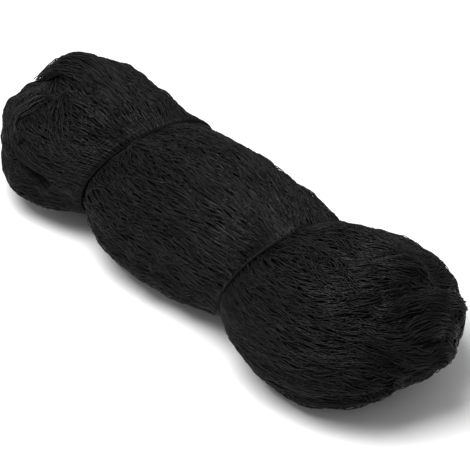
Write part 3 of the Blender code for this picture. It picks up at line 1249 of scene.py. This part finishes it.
@dataclass(frozen=True)
class Scatter:
    """Locks along the twines of a lobe, each a little askew. A pair is the least and the most."""

    count: int = 14
    start: float = 0.06  # the share before which none starts
    end: float = 0.80  # the share after which none ends
    reach: Pair = (0.25, 0.55)  # share of the lobe's length that one takes
    beside: Pair = (0.1, 0.9)  # where its middle lies in its own part of the girth
    skew: float = 0.018  # most by which its ends lie off that, in turns
    bend: float = 0.008  # and its middle
    half_width: Pair = (0.004, 0.008)
    height: Pair = (0.0002, 0.0007)
    twines: tuple[int, int] = (6, 12)

    def locks(self, seed: int) -> list[Lock]:
        """Draws a lock for each part of the girth.

        Args:
            seed: Seed of the draws.

        Returns:
            The locks, with places on the lobe's belt.
        """
        random = np.random.default_rng(seed)
        locks = []
        for number in range(self.count):
            reach = random.uniform(*self.reach)
            start = random.uniform(self.start, self.end - reach)
            turn = (number + random.uniform(*self.beside)) / self.count
            skew = random.uniform(-self.skew, self.skew)
            bend = random.uniform(-self.bend, self.bend)
            locks.append(
                Lock(
                    start=(start, turn - skew),
                    middle=(start + reach / 2, turn + bend),
                    end=(start + reach, turn + skew),
                    half_width=random.uniform(*self.half_width),
                    height=random.uniform(*self.height),
                    twines=int(random.integers(*self.twines)),
                )
            )
        return locks


UNDER = Gather(
    density=900, depth=0.0018, drift=0.0010, bunch=0.0002, heave=0.0001, slack=0.0003, steps=2,
    crimp=Crimp(shared=0.0003, own=0.0001, ramble=0.0006, weave=0.0001), knotted=False,
    thickness=1.8,
)
INNER = Gather(
    density=700, depth=0.0013, drift=0.0014, bunch=0.0007, heave=0.0004, slack=0.0004, steps=6,
)
OUTER = Gather(
    density=670, depth=0.0007, drift=0.0018, bunch=0.0010, heave=0.0005, slack=0.0004, steps=9,
)


@dataclass
class Netting:
    """All the netting of one lobe."""

    name: str
    bed: Bed
    seed: int
    twine: Twine
    material: Material
    chart: Chart
    placed: tuple[Lock, ...] = ()  # the locks that give the lobe its look, on the chart
    tangles: tuple[Tangle, ...] = ()
    scatter: Scatter = Scatter()
    strays: Strays = Strays()
    gathers: tuple[tuple[str, Gather], ...] = (
        ("under", UNDER), ("inner", INNER), ("outer", OUTER),
    )

    def build(self) -> list[Piece]:
        """Makes the lobe's pieces.

        Returns:
            A piece for each sheet, and one for the twines that lie over them.
        """
        pieces = []
        for number, (layer, gather) in enumerate(self.gathers):
            mesh = TwineMesh()
            NetSheet(self.bed, self.twine, gather, self.seed + 20 * number).add_to(mesh)
            pieces.append(self._finished(mesh, layer))
        mesh = TwineMesh()
        # Each kind has its own thousand of seeds, and each lock or tangle its own ten.
        for first, chart, forms in (
            (1000, Belt(self.bed.lay), self.scatter.locks(self.seed + 77)),
            (2000, self.chart, self.placed),
            (3000, self.chart, self.tangles),
        ):
            for number, form in enumerate(forms):
                form.add_to(mesh, chart, self.twine, self.seed + first + 10 * number)
        self.strays.add_to(mesh, self.bed, self.twine, self.seed + 4000)
        for tie, at_end in ((self.bed.start, False), (self.bed.end, True)):
            if tie.pleats:
                Pleats(tie, at_end).add_to(mesh, self.bed, self.twine, self.seed + 5000)
        pieces.append(self._finished(mesh, "locks"))
        return pieces

    def _finished(self, mesh: TwineMesh, layer: str) -> Piece:
        """Makes a mesh a piece of the hank.

        Args:
            mesh: The mesh.
            layer: The last word of the piece's name.

        Returns:
            The piece.
        """
        piece = mesh.build(f"{self.name}_{layer}", self.material)
        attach(piece, BODY)
        return piece


# ---- Finishes ----


class NodeBench:
    """Adds shader nodes to a tree, with their inputs set or linked as they are made."""

    def __init__(self, tree: bpy.types.NodeTree) -> None:
        """Works on that tree."""
        self.tree = tree

    def fill(self, node: bpy.types.Node, inputs: Inputs) -> None:
        """Links each input to what is given for it where that is a socket, and else sets it.

        Args:
            node: The node.
            inputs: What is given for its inputs.
        """
        for key, given in inputs.items():
            if isinstance(given, Socket):
                self.tree.links.new(given, node.inputs[key])
            else:
                node.inputs[key].default_value = given

    def add(self, kind: str, inputs: Inputs, **properties: object) -> bpy.types.NodeOutputs:
        """Adds a node.

        Args:
            kind: Its type, without the first words that all shader nodes share.
            inputs: What is given for its inputs.
            properties: Its other properties.

        Returns:
            The node's outputs.
        """
        node = self.tree.nodes.new("ShaderNode" + kind)
        for name, value in properties.items():
            setattr(node, name, value)
        self.fill(node, inputs)
        return node.outputs

    def math(self, operation: str, *values: float | Socket) -> Socket:
        """The result of a Math node."""
        return self.add("Math", dict(enumerate(values)), operation=operation)[0]

    def stretch(self, value: Socket, source: Pair, target: Pair = (0.0, 1.0)) -> Socket:
        """Moves a value from one span to another, and holds it there.

        Args:
            value: The value.
            source: The ends of the span it comes from.
            target: The ends of the span it goes to.

        Returns:
            The new value.
        """
        ends = dict(zip(("From Min", "From Max", "To Min", "To Max"), (*source, *target)))
        return self.add("MapRange", {"Value": value, **ends})["Result"]

    def mix(self, share: Socket, dark: Triple, pale: Triple) -> Socket:
        """The colour that lies that share of the way from dark to pale."""
        inputs = {"Factor": share, "A": (*dark, 1.0), "B": (*pale, 1.0)}
        return self.add("Mix", inputs, data_type="RGBA")["Result"]

    def bump(self, height: Socket, depth: float) -> Socket:
        """The normals of a surface whose height goes from 0 to depth, in metres."""
        return self.add("Bump", {"Height": height, "Distance": depth})["Normal"]


def surface(name: str, specular: float) -> tuple[Material, NodeBench, bpy.types.Node]:
    """Starts a material.

    Args:
        name: Its name.
        specular: Its specular level.

    Returns:
        The material, a bench for its nodes and its Principled shader.
    """
    material = bpy.data.materials.new(name)
    material.use_nodes = True
    shader = material.node_tree.nodes["Principled BSDF"]
    shader.inputs["Specular IOR Level"].default_value = specular
    return material, NodeBench(material.node_tree), shader


@dataclass(frozen=True)
class FibreGroup:
    """The node group that gives a twine its tones and its twist, from the twine's own map."""

    name: str = "twisted_fibre"
    tone_step: float = 37.31  # how far apart two slots read their noise
    tone_fading: float = 26.0  # changes of tone along the map's length
    grime_fading: float = 80.6  # and of grime
    grime_start: float = 9.0  # how far from the tones the grime's noise is read
    strands: float = 2.0  # twisted strands that show across a twine
    pitches: float = 110.0  # turns of the twist in the map's length
    detail: float = 1.0  # of the noise

    def build(self) -> bpy.types.NodeTree:
        """Tone is noise read by slot and place along the twine; Twist is a slanting sine.

        Returns:
            The group, with the outputs Tone, Grime and Twist, each from 0 to 1.
        """
        tree = bpy.data.node_groups.new(self.name, "ShaderNodeTree")
        for socket in ("Tone", "Grime", "Twist"):
            tree.interface.new_socket(socket, in_out="OUTPUT", socket_type="NodeSocketFloat")
        bench = NodeBench(tree)
        uv = bench.add("UVMap", {}, uv_map=TWINE_MAP)["UV"]
        apart = bench.add("SeparateXYZ", {0: uv})
        slots = bench.math("MULTIPLY", apart["X"], TONE_SLOTS)
        slot, side = bench.math("FLOOR", slots), bench.math("FRACT", slots)
        found = {}
        for socket, fading, start in (
            ("Tone", self.tone_fading, 0.0), ("Grime", self.grime_fading, self.grime_start)
        ):
            across = bench.math("MULTIPLY_ADD", slot, self.tone_step, start)
            along = bench.math("MULTIPLY", apart["Y"], fading)
            place = bench.add("CombineXYZ", {"X": across, "Y": along})[0]
            reading = {"Vector": place, "Scale": 1.0, "Detail": self.detail}
            found[socket] = bench.add("TexNoise", reading, noise_dimensions="2D")["Fac"]
        turned = bench.math("MULTIPLY", apart["Y"], FULL_TURN * self.pitches)
        phase = bench.math("MULTIPLY_ADD", side, FULL_TURN * self.strands / SLOT_FILL, turned)
        found["Twist"] = bench.math("MULTIPLY_ADD", bench.math("SINE", phase), 0.5, 0.5)
        bench.fill(tree.nodes.new("NodeGroupOutput"), found)
        return tree


@dataclass(frozen=True)
class TwineFinish:
    """Black plastic twine, duller and paler in places."""

    name: str
    fibre: bpy.types.NodeTree
    dark: Triple = (0.0030, 0.0030, 0.0032)
    pale: Triple = (0.0140, 0.0140, 0.0145)
    roughness: Pair = (0.30, 0.62)
    specular: float = 0.16
    noise_span: Pair = (0.3, 0.7)  # the noise that is taken for 0 and for 1
    twist_depth: float = 0.00005

    def material(self) -> Material:
        """The finish as a material.

        Returns:
            A Principled material whose colour, roughness and bump come from the fibre group.
        """
        material, bench, shader = surface(self.name, self.specular)
        fibre = bench.add("Group", {}, node_tree=self.fibre)
        share = bench.stretch(fibre["Tone"], self.noise_span)
        looks = {
            "Base Color": bench.mix(share, self.dark, self.pale),
            "Roughness": bench.stretch(fibre["Grime"], self.noise_span, self.roughness),
            "Normal": bench.bump(fibre["Twist"], self.twist_depth),
        }
        bench.fill(shader, looks)
        return material


@dataclass(frozen=True)
class CoreFinish:
    """The mass of black twines inside, as fine ridges along the hank, coloured darker than the
    twine as painted shade.
    """

    name: str = "packed_twine_painted_shade"
    # Both tones lie below the twine's own: black twine painted darker still, as painted shade in
    # the gaps between the outer twines.
    dark: Triple = (0.0010, 0.0010, 0.0011)
    pale: Triple = (0.0045, 0.0045, 0.0048)
    spacing: float = 0.0011  # metres from ridge to ridge
    slimness: float = 0.10  # width of a ridge over its length
    detail: float = 2.0  # of the noise
    ridge_depth: float = 0.0006
    roughness: float = 0.7
    specular: float = 0.04

    def material(self) -> Material:
        """The finish as a material.

        Returns:
            A Principled material with noise stretched along x for its colour and bump.
        """
        material, bench, shader = surface(self.name, self.specular)
        shader.inputs["Roughness"].default_value = self.roughness
        place = bench.add("TexCoord", {})["Object"]
        place = bench.add("Mapping", {"Vector": place, "Scale": (self.slimness, 1.0, 1.0)})[0]
        noise = {"Vector": place, "Scale": 1.0 / self.spacing, "Detail": self.detail}
        ridges = bench.add("TexNoise", noise)["Fac"]
        # Painted shade: the ridged colour is darker than the twine's, so the gaps show as shadowed
        # depth.
        colour = bench.mix(ridges, self.dark, self.pale)
        normals = bench.bump(ridges, self.ridge_depth)
        bench.fill(shader, {"Base Color": colour, "Normal": normals})
        return material


# ---- Core, cords and studio ----


@dataclass
class Core:
    """The mass of the netting inside its outermost turns, as one closed skin, finished darker than
    the twine as painted shade in the gaps.
    """

    depth: float = 0.0028  # how far it lies below the skin
    clearance: float = 0.0004  # least height over the ground
    rows: int = 30  # of each lobe
    columns: int = 80

    def _sunk(self, bed: Bed) -> Array:
        """Sinks a lobe's bed by the depth.

        Args:
            bed: The bed.

        Returns:
            Points in rows from the start of its lay to its end.
        """
        shares = np.linspace(0, 1, self.rows)[:, None] * np.ones(self.columns)
        turns = np.broadcast_to(np.arange(self.columns) / self.columns, shares.shape)
        return bed.lay.place(shares, turns, 0 * shares, bed.held(shares)[1] - self.depth)[0]

    def build(self, far: Bed, middle: Bed, near: Bed, material: Material) -> Piece:
        """Joins the lobes' sunken beds at the waists and closes them at the eyes.

        Args:
            far: The far lobe's bed.
            middle: The middle lobe's bed.
            near: The near lobe's bed.
            material: Its finish.

        Returns:
            The piece that stands for the solid.
        """
        lobes = self._sunk(far)[::-1], self._sunk(middle), self._sunk(near)
        far_ring, near_ring = ((a[-1:] + b[:1]) / 2 for a, b in zip(lobes, lobes[1:]))
        inner = [lobe[1:-1] for lobe in lobes]
        rings = np.concatenate((inner[0], far_ring, inner[1], near_ring, inner[2]))
        rings[..., 2] = np.maximum(rings[..., 2], self.clearance)
        eyes = np.stack((lobes[0][0].mean(axis=0), lobes[2][-1].mean(axis=0)))
        number = np.arange(rings.shape[0] * self.columns).reshape(-1, self.columns)
        beside = np.roll(number, -1, axis=1)
        quads = np.stack((number[:-1], beside[:-1], beside[1:], number[1:]), axis=-1)
        first = np.stack((np.full(self.columns, number.size), beside[0], number[0]), axis=-1)
        last = np.stack((np.full(self.columns, number.size + 1), number[-1], beside[-1]), axis=-1)
        mesh = bpy.data.meshes.new("net_core")
        mesh.from_pydata(
            np.concatenate((rings.reshape(-1, 3), eyes)).tolist(),
            [],
            quads.reshape(-1, 4).tolist() + first.tolist() + last.tolist(),
        )
        mesh.materials.append(material)
        mesh.shade_smooth()
        mesh.validate()
        core = linked("net_core", mesh)
        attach(core, BODY)
        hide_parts(HANK_NODE)
        return core


@dataclass
class Cord:
    """A cord of laid strands tied round a waist, with its plain knot at the back."""

    name: str
    node: str
    waist: Waist
    knot_turn: float = 330 / 360  # where the knot lies
    strands: int = 3
    strand_radius: float = 0.00036
    pitch: float = 0.0075  # length in which a strand goes once round the cord
    points_a_pitch: int = 12
    sides: int = 6
    wraps: float = 3.0
    wrap_points: int = 20
    knot_radius: float = 0.0010  # of the wraps' middle line
    knot_spread: float = 0.0216  # turns round the waist that the wraps take
    probe: float = 1e-4  # turns on either side at which its direction is read
    measured_at: int = 400  # points at which its length is measured

    def _ring(self, turns: Array) -> tuple[Array, Array]:
        """The cord's middle line.

        Args:
            turns: Where round the waist.

        Returns:
            Points, and the directions outwards from the line in the waist's plane.
        """
        along = self.waist.ring(turns + self.probe) - self.waist.ring(turns - self.probe)
        outward = np.stack((0 * turns, along[:, 2], -along[:, 1]), axis=-1)
        return self.waist.ring(turns), unit(outward)

    def strand_paths(self) -> tuple[Array, Array]:
        """Winds each strand round the cord's middle line, as cos out + sin along the hank.

        Returns:
            Points and the directions away from the middle line, strands by points by 3.
        """
        round_it = self.waist.ring(np.linspace(0, 1, self.measured_at))
        length = np.linalg.norm(np.diff(round_it, axis=0), axis=1).sum()
        pitches = round(length / self.pitch)
        turns = self.knot_turn + np.linspace(0, 1, pitches * self.points_a_pitch + 1)
        middle, outward = self._ring(turns)
        starts = np.arange(self.strands)[:, None] / self.strands
        angle = FULL_TURN * (starts + pitches * (turns - self.knot_turn))
        away = np.cos(angle)[..., None] * outward + np.sin(angle)[..., None] * (1.0, 0.0, 0.0)
        return middle + (CORD_RADIUS - self.strand_radius) * away, away

    def knot_path(self) -> tuple[Array, Array]:
        """Wraps one strand round the cord, side by side.

        Returns:
            Points and the directions away from the cord's middle line, 1 by points by 3.
        """
        share = np.linspace(0, 1, round(self.wraps * self.wrap_points) + 1)
        turns = self.knot_turn + (share - 0.5) * self.knot_spread
        middle, outward = self._ring(turns)
        angle = FULL_TURN * self.wraps * share
        away = np.cos(angle)[:, None] * outward + np.sin(angle)[:, None] * (1.0, 0.0, 0.0)
        return (middle + self.knot_radius * away)[None], away[None]

    def build(self, material: Material) -> Piece:
        """Makes the cord, which stands for its plain solid.

        Args:
            material: Its finish.

        Returns:
            The piece.
        """
        mesh = TwineMesh(self.sides)
        for paths, away in (self.strand_paths(), self.knot_path()):
            count = len(paths)
            mesh.add_twines(paths, away, np.full(count, self.strand_radius), np.arange(count))
        piece = mesh.build(self.name, material)
        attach(piece, BODY)
        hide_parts(self.node)
        return piece


@dataclass
class Studio:
    """A pale floor, soft light from above and the camera."""

    camera_azimuth: float = 48.5
    camera_elevation: float = 36.0
    camera_distance: float = 1.76
    lens: float = 235.0
    aim: Triple = (0.010, 0.004, 0.034)
    floor_half: float = 6.0
    floor_tone: float = 0.85
    floor_roughness: float = 0.9
    lamp_place: Triple = (-0.08, -0.42, 1.24)
    lamp_size: float = 0.8
    lamp_power: float = 22.8
    sky: float = 0.50  # strength of the light from all round

    def build(self) -> None:
        """Sets the stage, the lights and the camera."""
        self._floor()
        self._lamp()
        world = bpy.data.worlds.new("studio")
        bpy.context.scene.world = world
        world.use_nodes = True
        sky = world.node_tree.nodes["Background"].inputs
        sky["Color"].default_value = (1, 1, 1, 1)
        sky["Strength"].default_value = self.sky
        bpy.context.scene.view_settings.view_transform = "Standard"
        self._camera()

    def _floor(self) -> None:
        """A wide pale floor at z = 0."""
        mesh = bpy.data.meshes.new("floor")
        half = self.floor_half
        corners = [(-half, -half, 0), (half, -half, 0), (half, half, 0), (-half, half, 0)]
        mesh.from_pydata(corners, [], [(0, 1, 2, 3)])
        floor = linked("floor", mesh)
        material = bpy.data.materials.new("floor")
        material.use_nodes = True
        shader = material.node_tree.nodes["Principled BSDF"]
        tone = self.floor_tone
        shader.inputs["Base Color"].default_value = (tone, tone, tone, 1)
        shader.inputs["Roughness"].default_value = self.floor_roughness
        mesh.materials.append(material)

    def _lamp(self) -> None:
        """A square soft light that faces the hank."""
        data = bpy.data.lights.new("overhead", "AREA")
        data.shape = "SQUARE"
        data.size = self.lamp_size
        data.energy = self.lamp_power
        lamp = linked("overhead", data)
        lamp.location = self.lamp_place
        lamp.rotation_euler = (-Vector(self.lamp_place)).to_track_quat("-Z", "Y").to_euler()

    def _camera(self) -> None:
        """The camera, from its bearing, its height angle and its distance."""
        azimuth, elevation = map(math.radians, (self.camera_azimuth, self.camera_elevation))
        level = math.cos(elevation)
        back = Vector(
            (math.sin(azimuth) * level, -math.cos(azimuth) * level, math.sin(elevation))
        )
        data = bpy.data.cameras.new("camera")
        data.lens = self.lens
        camera = linked("camera", data)
        camera.location = Vector(self.aim) + back * self.camera_distance
        camera.rotation_euler = (-back).to_track_quat("-Z", "Y").to_euler()
        bpy.context.scene.camera = camera


# The locks of the far lobe, on its disc: how far out from the tip, and the turn, which is a
# share of a circle.
FAR_LOCKS = (
    # The flap turned back over the gathered end.
    Lock(
        (0.20, 0.27), (0.45, 0.25), (0.85, 0.24), 0.0115, 0.0034, twines=34, layers=4,
        pinch=0.80, squareness=0.18, tuck=0.0022, step=0.0018,
    ),
    Lock((0.25, 0.24), (0.40, 0.22), (0.75, 0.20), 0.010, 0.0016, twines=18, pinch=0.6),
    # The lowest turns, which pass under the tip, and the one that hangs over them.
    Lock((1.00, 0.56), (0.75, 0.58), (0.50, 0.62), 0.010, 0.0012, twines=24, pinch=0.7),
    Lock(
        (0.45, 0.34), (0.60, 0.41), (0.90, 0.49), 0.008, 0.0032, twines=22, layers=3,
        pinch=0.6, squareness=0.22,
    ),
    # Bunches that come out from under the flap.
    Lock((0.50, 0.29), (0.50, 0.34), (0.65, 0.44), 0.006, 0.0014, twines=12),
    Lock((0.50, 0.28), (0.70, 0.33), (0.95, 0.39), 0.007, 0.0014, twines=12),
)

STEEP = {"twines": 14, "squareness": 0.3, "tuck": 0.002}  # what the steep bunches share

# The locks of the near lobe, on its disc.
NEAR_LOCKS = (
    # The one that arches over the top.
    Lock(
        (0.95, 0.12), (0.65, 0.18), (0.60, 0.04), 0.012, 0.0014, twines=30, layers=2,
        pinch=0.6, squareness=0.5,
    ),
    # Steep bunches on its left, which merge into the level ones.
    Lock((0.95, 0.26), (0.70, 0.29), (0.40, 0.30), 0.005, 0.0014, **STEEP),
    Lock((0.95, 0.25), (0.65, 0.27), (0.40, 0.28), 0.005, 0.0016, **STEEP),
    Lock((0.90, 0.23), (0.70, 0.24), (0.45, 0.25), 0.005, 0.0014, **STEEP),
    # The folds between the puckers, from the highest to the lowest.
    Lock(
        (0.60, 0.24), (0.45, 0.20), (0.55, 0.08), 0.0085, 0.0028, twines=30, layers=3,
        pinch=0.7, squareness=0.25,
    ),
    Lock((0.35, 0.27), (0.30, 0.22), (0.45, 0.10), 0.0035, 0.0026, twines=16, squareness=0.3),
    Lock(
        (0.35, 0.28), (0.25, 0.24), (0.40, 0.08), 0.0065, 0.0030, twines=26, layers=3,
        pinch=0.7, squareness=0.22,
    ),
    Lock(
        (0.40, 0.32), (0.15, 0.25), (0.35, 0.06), 0.0080, 0.0026, twines=28, layers=3,
        pinch=0.7, squareness=0.25,
    ),
    Lock(
        (0.40, 0.35), (0.05, 0.25), (0.25, 0.98), 0.0085, 0.0034, twines=30, layers=3,
        pinch=0.6, squareness=0.20,
    ),
    Lock(
        (0.40, 0.44), (0.25, 0.48), (0.15, 0.72), 0.0100, 0.0026, twines=26, layers=2,
        pinch=0.6, squareness=0.25,
    ),
)
FAR_FURROWS = (
    # Under the flap and down from its fold.
    Furrow(((0.25, 0.31), (0.40, 0.30), (0.55, 0.29)), depth=0.0060, width=0.0060),
    Furrow(((0.50, 0.28), (0.60, 0.27), (0.65, 0.26)), depth=0.0050, width=0.0060),
    # Over the lowest turns.
    Furrow(((0.60, 0.42), (0.70, 0.49), (0.85, 0.52)), depth=0.0065, width=0.0035),
)
NEAR_FURROWS = (
    # Between the folds, from the highest to the lowest.
    Furrow(((0.60, 0.15), (0.55, 0.10), (0.55, 0.04)), depth=0.0035),
    Furrow(((0.45, 0.26), (0.35, 0.25), (0.30, 0.21), (0.40, 0.12)), depth=0.0035),
    Furrow(((0.30, 0.27), (0.30, 0.24), (0.30, 0.19)), depth=0.0035),
    Furrow(
        ((0.20, 0.30), (0.10, 0.26), (0.10, 0.18), (0.20, 0.04), (0.35, 0.00)), depth=0.0055
    ),
    # The one that ends at the knotted end.
    Furrow(((0.30, 0.34), (0.20, 0.38), (0.15, 0.46)), depth=0.0016, width=0.0020),
    # Under the top lock and among the steep bunches.
    Furrow(((0.70, 0.24), (0.55, 0.24), (0.50, 0.18)), depth=0.0028),
    Furrow(((0.75, 0.28), (0.65, 0.28), (0.55, 0.28)), depth=0.0028),
    # The one that starts at the cord.
    Furrow(((1.00, 0.34), (0.85, 0.31), (0.75, 0.29)), depth=0.0040),
)
NEAR_TANGLES = (Tangle((0.18, 0.50), above=0.0028, radius=0.0027, loops=12),)


def main() -> None:
    """Builds the core, the netting of each lobe, the cords and the studio."""
    logging.basicConfig(level=logging.INFO, format="%(message)s")
    skin = Skin(HANK_NODE)
    far_waist, near_waist = Waist.of("tie_far"), Waist.of("tie_near")
    low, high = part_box(HANK_NODE)
    heart_rise = HEART_RISE * high.z
    far = OuterLobe(
        Side.FAR, far_waist, low.x, heart_share=0.46, heart_rise=heart_rise,
        eye_turn=0.27, eye_out=0.30, furrows=FAR_FURROWS,
    )
    middle = MiddleLobe(far_waist, near_waist)
    near = OuterLobe(
        Side.NEAR, near_waist, high.x, heart_share=0.50, heart_rise=heart_rise,
        eye_turn=0.01, eye_out=0.60, furrows=NEAR_FURROWS,
    )
    far_bed = Bed(far.lay(skin).dented(11), LEFT_OF_CORD, LOOSE, plunge=0.006, plunge_reach=0.030)
    middle_bed = Bed(middle.lay(skin).dented(12), RIGHT_OF_CORD, LEFT_OF_CORD)
    near_bed = Bed(near.lay(skin).dented(13), RIGHT_OF_CORD, LOOSE, plunge=0.004)
    far_disc, near_disc = Disc(*far.skin_grid(skin)), Disc(*near.skin_grid(skin))
    skin.remove()
    twine, fibre = Twine(), FibreGroup().build()
    black = TwineFinish("black_twine", fibre).material()
    dull = TwineFinish(
        "black_cord", fibre, dark=(0.0030, 0.0030, 0.0031), pale=(0.0080, 0.0080, 0.0082),
        roughness=(0.75, 0.9), specular=0.05,
    ).material()
    pieces = [
        Core().build(far_bed, middle_bed, near_bed, CoreFinish().material()),
        *Netting("net_far", far_bed, 100, twine, black, far_disc, FAR_LOCKS).build(),
        *Netting("net_middle", middle_bed, 200, twine, black, Belt(middle_bed.lay)).build(),
        *Netting(
            "net_near", near_bed, 300, twine, black, near_disc, NEAR_LOCKS, NEAR_TANGLES
        ).build(),
        Cord("cord_far", "tie_far", far_waist).build(dull),
        Cord("cord_near", "tie_near", near_waist).build(dull),
    ]
    for piece in pieces:
        mesh = piece.data
        log.info("%s: %d triangles", piece.name, len(mesh.loops) - 2 * len(mesh.polygons))
    Studio().build()


if __name__ == "__main__":
    main()
